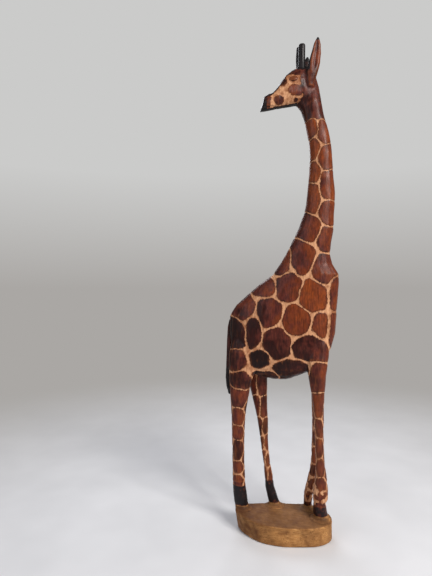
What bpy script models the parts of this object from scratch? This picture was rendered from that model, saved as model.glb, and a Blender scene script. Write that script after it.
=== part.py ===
"""Carved wooden giraffe that looks back over its shoulder, standing on an oval base.

Units are metres and +Z is up. The origin is the centre of the base's underside. The giraffe's
body faces +X, and its head is turned back towards -X and a little towards -Y. The statue is
carved from one upright billet, so nothing is pegged or screwed: every named section is one
closed solid, parted from the next by a thin kerf.

A section of a leg, the trunk, the neck or an ear is written as the height, the rear and front
edges in X, and half the width in Y. The head's sections are measured along the head instead.
"""

from collections import namedtuple
import math

import bmesh
import bpy
import numpy as np

# Driving dimensions
KERF = 0.0003
BODY_Y = 0.012            # the giraffe's middle plane, behind the base's centre
BASE_HEIGHT = 0.0205
BASE_EDGE_RADIUS = 0.0025
HEAD_YAW = math.radians(20)
HEAD_PIVOT_X = 0.022

NECK_ROOT_Z = 0.322       # kerf between the trunk and the neck
FRONT_LEG_TOP_Z = 0.168
HIND_LEG_TOP_Z = 0.158
CROWN_Z = 0.4965          # kerf below the free part of the ears and horns
HORN_ROOT_Z = 0.4850      # buried in the skull
HORN_PLACE = 0.0050       # along the head, forward of the pivot
HORN_SPREAD = 0.0092      # between the two horns' axes
HORN_LENGTH = 0.0075
HORN_WIDTH = 0.0068

# The base's outline, seen from above
BASE_OUTLINE = (
    (-0.0524, 0.0025), (-0.0475, 0.0095), (-0.0290, 0.0192), (0.0000, 0.0262),
    (0.0250, 0.0282), (0.0430, 0.0190), (0.0500, 0.0040), (0.0437, -0.0112),
    (0.0190, -0.0225), (-0.0100, -0.0262), (-0.0340, -0.0190), (-0.0480, -0.0075),
)

# The trunk, from the belly up to the root of the neck: z, rear x, front x, half width
TRUNK = (
    (0.1608, -0.0140, 0.0020, 0.0045),
    (0.1630, -0.0250, 0.0090, 0.0090),
    (0.1670, -0.0390, 0.0180, 0.0130),
    (0.1730, -0.0490, 0.0320, 0.0155),
    (0.1820, -0.0560, 0.0430, 0.0173),
    (0.1960, -0.0595, 0.0490, 0.0184),
    (0.2120, -0.0608, 0.0528, 0.0188),
    (0.2290, -0.0602, 0.0543, 0.0186),
    (0.2400, -0.0530, 0.0548, 0.0181),
    (0.2520, -0.0400, 0.0558, 0.0175),
    (0.2630, -0.0268, 0.0568, 0.0168),
    (0.2735, -0.0124, 0.0566, 0.0160),
    (0.2845, -0.0048, 0.0500, 0.0152),
    (0.2950, 0.0016, 0.0477, 0.0146),
    (0.3060, 0.0070, 0.0488, 0.0141),
    (0.3165, 0.0123, 0.0506, 0.0136),
    (NECK_ROOT_Z, 0.0147, 0.0514, 0.0134),
)

# The upright stretch of the neck: z, rear x, front x, half width
NECK = (
    (NECK_ROOT_Z + KERF, 0.0148, 0.0514, 0.0134),
    (0.3376, 0.0207, 0.0518, 0.0124),
    (0.3480, 0.0228, 0.0526, 0.0120),
    (0.3590, 0.0239, 0.0527, 0.0116),
    (0.3800, 0.0260, 0.0509, 0.0110),
    (0.4010, 0.0270, 0.0497, 0.0106),
    (0.4120, 0.0260, 0.0487, 0.0104),
    (0.4230, 0.0240, 0.0466, 0.0102),
    (0.4330, 0.0218, 0.0440, 0.0100),
)

# Each leg from the base up into the trunk: z, rear x, front x, half width, middle y
HIND_RIGHT_LEG = (
    (BASE_HEIGHT, -0.0525, -0.0376, 0.0060, 0.0042),
    (0.0265, -0.0537, -0.0388, 0.0060, 0.0042),
    (0.0373, -0.0550, -0.0404, 0.0058, 0.0042),
    (0.0482, -0.0556, -0.0416, 0.0055, 0.0042),
    (0.0700, -0.0556, -0.0427, 0.0051, 0.0041),
    (0.0920, -0.0562, -0.0427, 0.0052, 0.0040),
    (0.1140, -0.0565, -0.0416, 0.0057, 0.0036),
    (0.1272, -0.0569, -0.0405, 0.0063, 0.0033),
    (0.1405, -0.0578, -0.0378, 0.0072, 0.0030),
    (HIND_LEG_TOP_Z, -0.0592, -0.0345, 0.0081, 0.0026),
    (0.1720, -0.0596, -0.0290, 0.0087, 0.0024),
    (0.1900, -0.0588, -0.0220, 0.0084, 0.0034),
    (0.2080, -0.0560, -0.0260, 0.0070, 0.0070),
)
HIND_LEFT_LEG = (
    (BASE_HEIGHT, -0.0172, -0.0050, 0.0052, 0.0190),
    (0.0245, -0.0185, -0.0068, 0.0052, 0.0192),
    (0.0306, -0.0201, -0.0091, 0.0051, 0.0196),
    (0.0392, -0.0218, -0.0123, 0.0050, 0.0200),
    (0.0523, -0.0229, -0.0140, 0.0047, 0.0200),
    (0.0655, -0.0240, -0.0168, 0.0042, 0.0200),
    (0.0853, -0.0268, -0.0189, 0.0041, 0.0201),
    (0.0985, -0.0286, -0.0190, 0.0047, 0.0202),
    (0.1118, -0.0308, -0.0190, 0.0054, 0.0204),
    (0.1250, -0.0336, -0.0200, 0.0062, 0.0207),
    (0.1383, -0.0370, -0.0201, 0.0071, 0.0210),
    (HIND_LEG_TOP_Z, -0.0420, -0.0200, 0.0081, 0.0214),
    (0.1720, -0.0480, -0.0150, 0.0087, 0.0216),
    (0.1900, -0.0500, -0.0130, 0.0084, 0.0206),
    (0.2080, -0.0480, -0.0180, 0.0070, 0.0170),
)
FRONT_RIGHT_LEG = (
    (BASE_HEIGHT, 0.0313, 0.0468, 0.0066, 0.0030),
    (0.0272, 0.0306, 0.0448, 0.0064, 0.0030),
    (0.0360, 0.0307, 0.0436, 0.0060, 0.0030),
    (0.0405, 0.0304, 0.0456, 0.0063, 0.0030),
    (0.0449, 0.0304, 0.0460, 0.0064, 0.0030),
    (0.0520, 0.0311, 0.0456, 0.0062, 0.0030),
    (0.0636, 0.0326, 0.0442, 0.0056, 0.0030),
    (0.0781, 0.0331, 0.0425, 0.0049, 0.0030),
    (0.0905, 0.0327, 0.0417, 0.0046, 0.0030),
    (0.1071, 0.0321, 0.0413, 0.0047, 0.0030),
    (0.1217, 0.0315, 0.0415, 0.0050, 0.0030),
    (0.1341, 0.0306, 0.0415, 0.0056, 0.0029),
    (0.1466, 0.0293, 0.0422, 0.0065, 0.0027),
    (0.1590, 0.0270, 0.0433, 0.0077, 0.0025),
    (FRONT_LEG_TOP_Z, 0.0255, 0.0439, 0.0083, 0.0024),
    (0.1850, 0.0220, 0.0462, 0.0083, 0.0034),
    (0.2080, 0.0230, 0.0480, 0.0070, 0.0070),
)
FRONT_LEFT_LEG = (
    (BASE_HEIGHT, 0.0196, 0.0288, 0.0052, 0.0218),
    (0.0257, 0.0197, 0.0287, 0.0051, 0.0218),
    (0.0345, 0.0198, 0.0297, 0.0051, 0.0218),
    (0.0435, 0.0217, 0.0319, 0.0053, 0.0218),
    (0.0547, 0.0243, 0.0350, 0.0053, 0.0217),
    (0.0701, 0.0274, 0.0361, 0.0047, 0.0216),
    (0.0832, 0.0280, 0.0371, 0.0045, 0.0214),
    (0.1050, 0.0287, 0.0382, 0.0047, 0.0213),
    (0.1250, 0.0287, 0.0395, 0.0053, 0.0213),
    (0.1450, 0.0278, 0.0410, 0.0064, 0.0214),
    (0.1580, 0.0262, 0.0425, 0.0076, 0.0216),
    (FRONT_LEG_TOP_Z, 0.0250, 0.0438, 0.0083, 0.0216),
    (0.1850, 0.0220, 0.0462, 0.0083, 0.0206),
    (0.2080, 0.0230, 0.0480, 0.0070, 0.0170),
)

# name, sections, kerf over the hoof, top of the leg
LEGS = (
    ("hind_right", HIND_RIGHT_LEG, 0.0470, HIND_LEG_TOP_Z),
    ("hind_left", HIND_LEFT_LEG, 0.0460, HIND_LEG_TOP_Z),
    ("front_right", FRONT_RIGHT_LEG, 0.0360, FRONT_LEG_TOP_Z),
    ("front_left", FRONT_LEFT_LEG, 0.0340, FRONT_LEG_TOP_Z),
)

# The head, from the neck to the nose: distance forward of the pivot and height of the section's
# middle, lean of its long axis in degrees, half its height and half its width
HEAD = (
    (-0.0024, 0.4638, 40, 0.0156, 0.0101),
    (0.0040, 0.4740, 69, 0.0222, 0.0112),
    (0.0135, 0.4724, 80, 0.0205, 0.0110),
    (0.0225, 0.4676, 88, 0.0167, 0.0100),
    (0.0292, 0.4615, 91, 0.0117, 0.0083),
    (0.0361, 0.4569, 88, 0.0088, 0.0073),
    (0.0395, 0.4558, 85, 0.0086, 0.0070),
)
MUZZLE = (
    (0.0395, 0.4558, 85, 0.0086, 0.0070),
    (0.0430, 0.4546, 80, 0.0085, 0.0067),
    (0.0463, 0.4534, 76, 0.0083, 0.0063),
)

# An ear: z, place along the head of its rear and front edges, middle and half width sideways
LEFT_EAR = (
    (0.4700, -0.0065, 0.0015, 0.0090, 0.0030),
    (0.4770, -0.0078, 0.0020, 0.0102, 0.0034),
    (0.4850, -0.0102, 0.0014, 0.0113, 0.0036),
    (0.4940, -0.0122, 0.0001, 0.0122, 0.0034),
    (0.5030, -0.0130, -0.0024, 0.0131, 0.0030),
    (0.5120, -0.0123, -0.0048, 0.0138, 0.0022),
    (0.5170, -0.0110, -0.0070, 0.0142, 0.0014),
    (0.5195, -0.0100, -0.0086, 0.0144, 0.0006),
)
RIGHT_EAR = (
    (0.4700, -0.0065, 0.0015, 0.0090, 0.0030),
    (0.4770, -0.0075, 0.0022, 0.0102, 0.0034),
    (0.4840, -0.0092, 0.0020, 0.0112, 0.0035),
    (0.4920, -0.0104, 0.0012, 0.0121, 0.0033),
    (0.5000, -0.0106, -0.0006, 0.0128, 0.0028),
    (0.5070, -0.0096, -0.0026, 0.0133, 0.0020),
    (0.5110, -0.0085, -0.0043, 0.0135, 0.0013),
    (0.5135, -0.0076, -0.0060, 0.0136, 0.0006),
)

# name, side of the head, ear, top of the horn
CROWN = (
    ("left", 1, LEFT_EAR, 0.5172),
    ("right", -1, RIGHT_EAR, 0.5185),
)

# The tail, which lies against the rump and the right thigh: z, rear x, front x, half width, y
TAIL = (
    (0.2240, -0.0612, -0.0580, 0.0016, 0.0120),
    (0.2160, -0.0630, -0.0570, 0.0024, 0.0118),
    (0.2000, -0.0638, -0.0570, 0.0027, 0.0110),
    (0.1840, -0.0640, -0.0565, 0.0026, 0.0098),
    (0.1720, -0.0642, -0.0560, 0.0030, 0.0086),
    (0.1600, -0.0645, -0.0560, 0.0038, 0.0076),
    (0.1500, -0.0632, -0.0560, 0.0034, 0.0068),
    (0.1420, -0.0608, -0.0565, 0.0014, 0.0062),
)

Section = namedtuple("Section", "x y z yaw lean half_length half_width")


def clear_scene():
    for obj in list(bpy.data.objects):
        bpy.data.objects.remove(obj, do_unlink=True)


def make_collection(name):
    collection = bpy.data.collections.new(name)
    bpy.context.scene.collection.children.link(collection)
    return collection


def make_material(name, colour, roughness):
    material = bpy.data.materials.new(name)
    material.use_nodes = True
    shader = material.node_tree.nodes["Principled BSDF"]
    shader.inputs["Base Color"].default_value = (*colour, 1.0)
    shader.inputs["Roughness"].default_value = roughness
    shader.inputs["Metallic"].default_value = 0.0
    material.diffuse_color = (*colour, 1.0)
    return material


def upright(z, rear, front, half_width, y=BODY_Y):
    """A level section, given by its rear and front edges."""
    return Section((rear + front) / 2, y, z, 0.0, 0.0, (front - rear) / 2, half_width)


def beside_head(forward, side, z, lean, half_length, half_width):
    """A section placed from the head's pivot; side is positive towards the head's left."""
    x = HEAD_PIVOT_X - forward * math.cos(HEAD_YAW) + side * math.sin(HEAD_YAW)
    y = BODY_Y - forward * math.sin(HEAD_YAW) - side * math.cos(HEAD_YAW)
    return Section(x, y, z, HEAD_YAW, math.radians(lean), half_length, half_width)


def smooth_sections(sections, spans):
    """Extra sections between the given ones, on a Catmull-Rom curve through their values."""
    rows = np.array(sections)
    padded = np.vstack((2 * rows[0] - rows[1], rows, 2 * rows[-1] - rows[-2]))
    steps = []
    for k in range(1, len(rows)):
        before, start, end, after = padded[k - 1:k + 3]
        for t in np.arange(spans) / spans:
            steps.append(0.5 * (2 * start + (end - before) * t
                                + (2 * before - 5 * start + 4 * end - after) * t ** 2
                                + (3 * start - 3 * end + after - before) * t ** 3))
    steps.append(rows[-1])
    return [Section(*row) for row in steps]


def ring(section, sides, fullness, grow):
    """Points round one section; fullness 2 is an ellipse, and more is squarer."""
    turn = 2 * math.pi * np.arange(sides) / sides
    long_part = np.sign(np.cos(turn)) * np.abs(np.cos(turn)) ** (2 / fullness)
    wide_part = np.sign(np.sin(turn)) * np.abs(np.sin(turn)) ** (2 / fullness)
    along = long_part * (section.half_length + grow)
    across = wide_part * (section.half_width + grow)
    level = along * math.cos(section.lean)
    x = section.x + level * math.cos(section.yaw) - across * math.sin(section.yaw)
    y = section.y + level * math.sin(section.yaw) + across * math.cos(section.yaw)
    z = section.z + along * math.sin(section.lean)
    return np.stack((x, y, z), axis=1)


def loft(name, sections, sides=20, spans=1, fullness=2.2, grow=0.0):
    """A closed skin through the sections, with a flat cap at each end."""
    bm = bmesh.new()
    rings = []
    for section in smooth_sections(sections, spans):
        rings.append([bm.verts.new(point) for point in ring(section, sides, fullness, grow)])
    for lower, upper in zip(rings, rings[1:]):
        for k in range(sides):
            following = (k + 1) % sides
            bm.faces.new((lower[k], lower[following], upper[following], upper[k]))
    bm.faces.new(rings[0][::-1])
    bm.faces.new(rings[-1])
    bmesh.ops.recalc_face_normals(bm, faces=bm.faces)
    mesh = bpy.data.meshes.new(name)
    bm.to_mesh(mesh)
    bm.free()
    return bpy.data.objects.new(name, mesh)


def between(sections, low, high):
    """The stretch of an upright set of sections from one height to another."""
    rows = np.array([(s.z, *s) for s in sections])
    kept = [s for s in sections if low < s.z < high]
    ends = []
    for z in (low, high):
        ends.append(Section(*(np.interp(z, rows[:, 0], rows[:, k + 1]) for k in range(7))))
    return [ends[0], *kept, ends[1]]


def add_boolean(obj, operation, tool):
    modifier = obj.modifiers.new(f"{operation.lower()}_{tool.name}", "BOOLEAN")
    modifier.operation = operation
    modifier.solver = "EXACT"
    modifier.object = tool
    tool.hide_render = True
    tool.display_type = "WIRE"


def finish(obj, collection, material):
    obj.data.materials.clear()
    obj.data.materials.append(material)
    obj.data.shade_smooth()
    obj.data.set_sharp_from_angle(angle=math.radians(50))
    collection.objects.link(obj)
    return obj


def make_base(collection, material):
    outline = bpy.data.curves.new("base_outline", "CURVE")
    outline.dimensions = "2D"
    outline.fill_mode = "BOTH"
    outline.resolution_u = 5
    outline.extrude = BASE_HEIGHT / 2 - BASE_EDGE_RADIUS - KERF / 2
    outline.bevel_depth = BASE_EDGE_RADIUS
    outline.bevel_resolution = 1
    outline.offset = -BASE_EDGE_RADIUS
    spline = outline.splines.new("BEZIER")
    spline.use_cyclic_u = True
    spline.bezier_points.add(len(BASE_OUTLINE) - 1)
    for point, (x, y) in zip(spline.bezier_points, BASE_OUTLINE):
        point.co = (x, y, 0.0)
        point.handle_left_type = "AUTO"
        point.handle_right_type = "AUTO"
    base = bpy.data.objects.new("base", outline)
    base.location.z = (BASE_HEIGHT - KERF) / 2
    outline.materials.append(material)
    weld = base.modifiers.new("weld", "WELD")
    weld.merge_threshold = 0.00002
    collection.objects.link(base)


def make_legs(parts, materials):
    for name, rows, hoof_top, leg_top in LEGS:
        sections = [upright(*row) for row in rows]
        hoof = loft(f"hoof_{name}", between(sections, BASE_HEIGHT, hoof_top), sides=18)
        finish(hoof, parts, materials["burnt"])
        leg = loft(f"leg_{name}", between(sections, hoof_top + KERF, leg_top - KERF), sides=18)
        finish(leg, parts, materials["stained"])


def make_trunk(parts, cutters, materials):
    """The trunk, with the tops of the four legs grown into it."""
    trunk = loft("trunk", [upright(*row) for row in TRUNK], sides=28, fullness=2.3)
    for name, rows, _, leg_top in LEGS:
        sections = [upright(*row) for row in rows]
        top = loft(f"top_of_{name}", between(sections, leg_top, rows[-1][0]), sides=18)
        cutters.objects.link(top)
        add_boolean(trunk, "UNION", top)
    finish(trunk, parts, materials["stained"])


def make_tail(parts, cutters, materials):
    """The tail, hollowed where it lies on the rump and the right thigh."""
    tail = loft("tail", [upright(*row) for row in TAIL], sides=14)
    rump = loft("rump_clearance", [upright(*row) for row in TRUNK], 28, 1, 2.3, KERF)
    thigh_sections = [upright(*row) for row in HIND_RIGHT_LEG]
    thigh = loft("thigh_clearance", thigh_sections, 18, 1, 2.2, KERF)
    for tool in (rump, thigh):
        cutters.objects.link(tool)
        add_boolean(tail, "DIFFERENCE", tool)
    finish(tail, parts, materials["burnt"])


def make_neck(parts, materials):
    """The neck, which leans and turns into the head at its top."""
    joint = beside_head(HEAD[0][0] - KERF, 0.0, HEAD[0][1] - KERF, *HEAD[0][2:])
    bend_low = Section(0.0306, BODY_Y, 0.4413, 0.0, math.radians(8), 0.0106, 0.0098)
    bend_high = Section(0.0277, BODY_Y, 0.4539, math.radians(8), math.radians(26), 0.0119, 0.0098)
    sections = [upright(*row) for row in NECK] + [bend_low, bend_high, joint]
    finish(loft("neck", sections, sides=22), parts, materials["stained"])


def make_head(parts, cutters, materials):
    """The skull with the roots of the ears and horns, and the burnt muzzle before it."""
    sections = [beside_head(forward, 0.0, *rest) for forward, *rest in HEAD]
    head = loft("head", sections, sides=22, spans=2)
    for side_name, side, ear_rows, horn_top in CROWN:
        ear = ear_sections(side, ear_rows)
        ear_root = loft(f"ear_root_{side_name}", between(ear, ear[0].z, CROWN_Z), sides=14)
        horn = horn_sections(side, HORN_ROOT_Z, horn_top)
        horn_root = loft(f"horn_root_{side_name}", between(horn, horn[0].z, CROWN_Z), sides=14)
        for tool in (ear_root, horn_root):
            cutters.objects.link(tool)
            add_boolean(head, "UNION", tool)
        free_ear = loft(f"ear_{side_name}", between(ear, CROWN_Z + KERF, ear[-1].z), sides=14)
        finish(free_ear, parts, materials["stained"])
        free_horn = loft(f"horn_{side_name}", between(horn, CROWN_Z + KERF, horn_top), sides=14)
        finish(free_horn, parts, materials["burnt"])
    finish(head, parts, materials["stained"])

    nose = [beside_head(forward + KERF, 0.0, *rest) for forward, *rest in MUZZLE]
    muzzle = loft("muzzle", nose, sides=22)
    rounding = muzzle.modifiers.new("round_nose", "BEVEL")
    rounding.width = 0.0012
    rounding.segments = 2
    rounding.angle_limit = math.radians(60)
    finish(muzzle, parts, materials["burnt"])


def ear_sections(side, rows):
    sections = []
    for z, rear, front, middle, half_width in rows:
        half_length = (front - rear) / 2
        forward = (front + rear) / 2
        sections.append(beside_head(forward, side * middle, z, 0, half_length, half_width))
    return sections


def horn_sections(side, low, high):
    """A short peg with a rounded top."""
    swell = ((low, 1.0), ((low + high) / 2, 1.0), (high - 0.0022, 0.98), (high - 0.0008, 0.85),
             (high, 0.5))
    sections = []
    for z, scale in swell:
        half_length = HORN_LENGTH / 2 * scale
        half_width = HORN_WIDTH / 2 * scale
        side_place = side * HORN_SPREAD / 2
        sections.append(beside_head(HORN_PLACE, side_place, z, 0, half_length, half_width))
    return sections


def main():
    clear_scene()
    parts = make_collection("carved_giraffe_statue")
    cutters = make_collection("cutters")
    materials = {
        "stained": make_material("stained_wood", (0.16, 0.045, 0.022), 0.38),
        "burnt": make_material("burnt_wood", (0.018, 0.013, 0.013), 0.45),
        "base": make_material("base_wood", (0.33, 0.17, 0.065), 0.5),
    }
    make_base(parts, materials["base"])
    make_legs(parts, materials)
    make_trunk(parts, cutters, materials)
    make_tail(parts, cutters, materials)
    make_neck(parts, materials)
    make_head(parts, cutters, materials)


main()
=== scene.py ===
"""Carved wooden giraffe that looks back over its shoulder: the sculpted surface and its finish.

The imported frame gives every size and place. Sculpting is in millimetres, in the frame's axes:
+Z up, the body faces +X, and the head is turned back towards -X. The near side is towards -Y.
Places on the head are (forward, side, z): forward is towards the nose, and side is 0 in the
head's middle plane and positive towards its left.
"""
import math

import bmesh
import bpy
import numpy as np
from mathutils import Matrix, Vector, kdtree


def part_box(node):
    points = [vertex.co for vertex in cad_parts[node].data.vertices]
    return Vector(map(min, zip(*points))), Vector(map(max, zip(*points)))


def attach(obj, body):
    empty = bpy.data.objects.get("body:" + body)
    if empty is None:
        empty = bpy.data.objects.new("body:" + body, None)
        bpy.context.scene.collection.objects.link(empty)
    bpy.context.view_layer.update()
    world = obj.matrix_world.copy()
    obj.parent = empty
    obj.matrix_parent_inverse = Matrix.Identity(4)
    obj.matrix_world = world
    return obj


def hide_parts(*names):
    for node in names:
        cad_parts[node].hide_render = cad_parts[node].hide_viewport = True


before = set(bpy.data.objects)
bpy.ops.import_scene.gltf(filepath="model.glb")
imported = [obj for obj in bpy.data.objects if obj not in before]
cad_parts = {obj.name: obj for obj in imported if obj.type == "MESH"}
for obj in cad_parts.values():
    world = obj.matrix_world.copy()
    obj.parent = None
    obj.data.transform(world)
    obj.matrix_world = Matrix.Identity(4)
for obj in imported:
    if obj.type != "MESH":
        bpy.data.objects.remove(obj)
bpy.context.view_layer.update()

MM = 0.001

# Sculpting
VOXEL = 0.7
GROW = 0.32               # closes the kerfs between the CAD sections
SMOOTHING = 90            # passes over the body
TAIL_VOXEL = 0.45
LINE_DEPTH = 0.32         # how deep the pale lines are gouged
FLARE = 3.4               # how far the bare wood spreads round a foot
FLARE_HEIGHT = 4.2
SEED = 11
TAUBIN = (0.52, -0.54)    # its two steps: shrink, then swell
SETTLING = (10, 0.6)      # passes and amount, once the base is shaped
HOLLOW_PASSES = 12        # smoothing that tells hollows from ridges
SMALLEST_ISLAND = 50      # points; what is smaller is a crumb of the cut
KERF_SEARCH = 0.8         # nodes this close face each other over a kerf
FOOT_KERF_REACH = 13.0
HOOF_REACH = (16, 8.5)
CLEFT_REACH = (16, 8)

# The giraffe's middle plane, the head's frame, and landmarks by height
BODY_Y = 12.0
HEAD_YAW = math.radians(20)
HEAD_PIVOT = (22.0, BODY_Y)
BASE_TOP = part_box("base")[1][2] / MM
CROWN_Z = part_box("horn_left")[0][2] / MM
BODY_BOTTOM = 150
HEAD_BOTTOM = 440
EYE_REGION = 466
EAR_ROOT = 486

# Spots on the near side of the trunk and the neck: x, z, half length, half height, how orange
# the stain is (about 0 dark maroon, 1 orange brown, less than 0 darker still), and whether the
# spot goes on over the ridge. They were measured on the photo, rounded, and some moved.
# The tones below 0, on the rump and low on the belly, are partly the stain's own darkness and
# partly painted shade.
BODY_SPOTS = (
    (20, 290, 11.5, 16.5, 0.36, False), (43, 277, 13, 15.5, 0.40, False),
    (6, 260, 14, 15, 0.26, False), (33, 251, 15.5, 18, 0.76, False),
    (-1, 284, 8, 12, 0.34, True), (-19, 259, 12, 9.5, 0.34, True),
    (-41, 237, 11, 11.5, 0.24, True), (-14, 234, 14.5, 14.5, 0.24, False),
    (15, 226, 15.5, 16.5, 0.50, False), (40, 221, 10, 13.5, 0.56, False),
    (-32, 213, 9, 17, -0.15, False), (-49, 208, 10, 15, -0.25, True),
    (-6, 199, 15.5, 17.5, 0.06, False), (27, 197, 17.5, 13.5, 0.06, False),
    (-24, 183, 11, 10, -0.60, False), (7, 175, 18.5, 10, -0.25, True),
    (-20, 166, 13, 5, -0.35, True), (36, 166, 8.5, 14, 0.30, False),
    (-49, 182, 9, 12, 0.10, False), (-46, 160, 9, 10, 0.05, False),
    (53, 252, 6.4, 18, 0.50, True), (52, 216, 6.0, 18, 0.52, True),
    (33, 448, 12, 12, 0.10, True),
    (28, 426, 6.5, 9.5, 0.62, True), (31, 404, 6.5, 11.5, 0.88, True),
    (32, 380, 6.5, 11, 0.95, True), (31, 353, 7.5, 15.5, 0.66, True),
    (28, 321, 11, 14, 0.40, True),
    (41, 421, 5.5, 12, 0.50, True), (44, 394, 7, 12, 0.50, True),
    (45, 366, 8, 15, 0.52, True), (45, 338, 8, 12, 0.50, True),
    (43, 309, 8.5, 11.5, 0.36, True),
)

# The spots down each leg: how far its columns are turned from its outer face, and their heights
LEG_SPOTS = {
    "hind_right": (0, (140, 120, 102, 85, 64, 50)),
    "hind_left": (45, (154, 128, 106, 88, 71, 55)),
    "front_right": (0, (138, 113, 94, 74, 57, 44, 34)),
    "front_left": (0, (141, 118, 98, 80, 63, 49, 37)),
}

# How far those spots reach, as shares of the leg's half size and their spacing: on the outer
# and inner faces, then on the front and rear ones; and on every face of a turned leg
LEG_REACHES = ((1.25, 0.9, 1.0), (0.5, 0.7, 0.8))
TURNED_LEG_REACH = (0.8, 0.8, 1.0)

# Where each hoof is burnt black: its low and high edge, and how strongly
BURNT_HOOVES = {
    "hind_right": (24, 44.5, 1.0),
    "hind_left": (23.5, 46.5, 0.95),
    "front_right": (21.5, 33.5, 0.75),
    "front_left": (21.5, 28, 0.45),
}

# Spots on each side of the head: forward, side, z, their reach, and how orange the stain is
HEAD_SPOTS = (
    (30, 7.5, 455.5, 5.4, 4.5, 5.0, 0.30),
    (12.2, 10.5, 465.5, 9.0, 4.0, 6.0, 0.34),
    (25.5, 6, 475.5, 3.8, 7.0, 6.4, 0.06),
    (12.5, 7, 456.5, 2.6, 3.5, 2.4, 0.05),
    (5, 7, 457.5, 2.4, 3.5, 2.0, 0.05),
    (11.5, 8.0, 486.5, 9.0, 7.0, 5.4, 0.14),
    (41.5, 4, 454, 3.2, 9.0, 9.0, 0.40),
    (-3, 8, 481, 12.0, 12.0, 30.0, 0.18),
)
EYE = (15.4, 477.5)
EYE_LENGTH = 4.7
EYE_HEIGHT = 3.0

# By height: how rounded the spots' corners are, and half the width of the pale lines
ROUNDING = ((140, 175, 300, 340), (0.8, 2.6, 2.3, 1.3))
HALF_LINE = (
    (20, 60, 75, 150, 175, 290, 320, 450),
    (0.9, 0.8, 0.5, 0.5, 0.5, 0.55, 0.6, 0.45),
)

# The material of each piece, by the first word of its node's name
SLOT_OF = {
    "base": "base_wood", "hoof": "burnt_wood", "muzzle": "burnt_wood", "horn": "burnt_wood",
    "tail": "burnt_wood", "leg": "stained_wood", "trunk": "stained_wood",
    "neck": "stained_wood", "head": "stained_wood", "ear": "stained_wood",
}
SPECULAR = 0.22
STAIN_ROUGHNESS = 0.38
BURNT_ROUGHNESS = 0.34
BASE_ROUGHNESS = 0.46

# The studio, in metres and watts. Softboxes: place, size, power and colour
SOFTBOXES = {
    "key": ((1.10, -0.85, 1.05), 0.7, 27.0, (1.0, 0.96, 0.92)),
    "fill": ((-0.9, -1.1, 0.8), 1.1, 5.5, (0.90, 0.93, 1.0)),
    "rear": ((-0.5, 1.2, 1.2), 0.9, 9.0, (0.92, 0.94, 1.0)),
}
LIGHT_AIM = (0.0, 0.0, 0.24)
WALL_LIGHT = ((200, 196, 194), 0.42)
FLOOR_HALF = 30.0
FLOOR_FADE = (0.16, 0.85)
CAMERA_PLACE = (0.0497, -0.4598, 0.259)
CAMERA_TURN = math.radians(15)
SENSOR_WIDTH = 36.0
LENS = 27.06

# Colours, as seen on the wood in white light, 0 to 255
STAIN = ((0.0, (50, 12, 6)), (0.25, (88, 38, 29)), (0.5, (106, 46, 22)), (1.0, (130, 60, 20)))
PALE_LINE = ((0.25, (176, 122, 88)), (0.55, (208, 156, 116)), (0.8, (222, 176, 138)))
BARE_WOOD = ((0.25, (142, 95, 50)), (0.5, (190, 137, 80)), (0.8, (218, 168, 108)))
WALL = ((0.0, (170, 167, 164)), (0.25, (203, 203, 202)))
BURNT = ((0.3, (11, 9, 12)), (0.8, (36, 27, 28)))


def smoothstep(low, high, value):
    """0 at low and 1 at high, with soft ends; low may be the greater."""
    t = np.clip((value - low) / (high - low), 0.0, 1.0)
    return t * t * (3 - 2 * t)


def bump_at(value, centre, width):
    """1 at the centre, falling off to 0 over about twice the width."""
    return np.exp(-((value - centre) / width) ** 2)


def waves(points, length, seed, count=14):
    """Smooth noise of about -1 to 1, from sine waves that run in every direction."""
    rng = np.random.default_rng(seed)
    ways = rng.normal(size=(count, 3))
    ways /= np.linalg.norm(ways, axis=1, keepdims=True)
    ways *= 2 * math.pi / length * rng.uniform(0.7, 1.4, (count, 1))
    phases = rng.uniform(0, 2 * math.pi, count)
    return np.sin(points @ ways.T + phases).sum(axis=1) / math.sqrt(2 * count)


def head_frame(points):
    """The points as (forward, side, z) on the head."""
    dx = points[:, 0] - HEAD_PIVOT[0]
    dy = points[:, 1] - HEAD_PIVOT[1]
    forward = -dx * math.cos(HEAD_YAW) - dy * math.sin(HEAD_YAW)
    side = dx * math.sin(HEAD_YAW) - dy * math.cos(HEAD_YAW)
    return forward, side, points[:, 2]


# ---------------------------------------------------------------- meshes and arrays

def node_points(name):
    """A CAD node's corners in millimetres."""
    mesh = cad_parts[name].data
    points = np.empty(len(mesh.vertices) * 3)
    mesh.vertices.foreach_get("co", points)
    return points.reshape(-1, 3) / MM


def grown_copy(names, grow):
    """One mesh of these CAD nodes, each swollen by grow."""
    joined = bmesh.new()
    for name in names:
        part = bmesh.new()
        part.from_mesh(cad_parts[name].data)
        bmesh.ops.remove_doubles(part, verts=part.verts, dist=0.001 * MM)
        part.normal_update()
        for vert in part.verts:
            vert.co += vert.normal * grow * MM
        mesh = bpy.data.meshes.new("grown")
        part.to_mesh(mesh)
        part.free()
        joined.from_mesh(mesh)
        bpy.data.meshes.remove(mesh)
    mesh = bpy.data.meshes.new("joined")
    joined.to_mesh(mesh)
    joined.free()
    return mesh


def remeshed(mesh, voxel):
    """An even skin of small squares round the mesh."""
    obj = bpy.data.objects.new("billet", mesh)
    bpy.context.scene.collection.objects.link(obj)
    modifier = obj.modifiers.new("voxels", "REMESH")
    modifier.mode = "VOXEL"
    modifier.voxel_size = voxel * MM
    depsgraph = bpy.context.evaluated_depsgraph_get()
    skin = bpy.data.meshes.new_from_object(obj.evaluated_get(depsgraph))
    bpy.data.objects.remove(obj)
    bpy.data.meshes.remove(mesh)
    return skin


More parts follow.
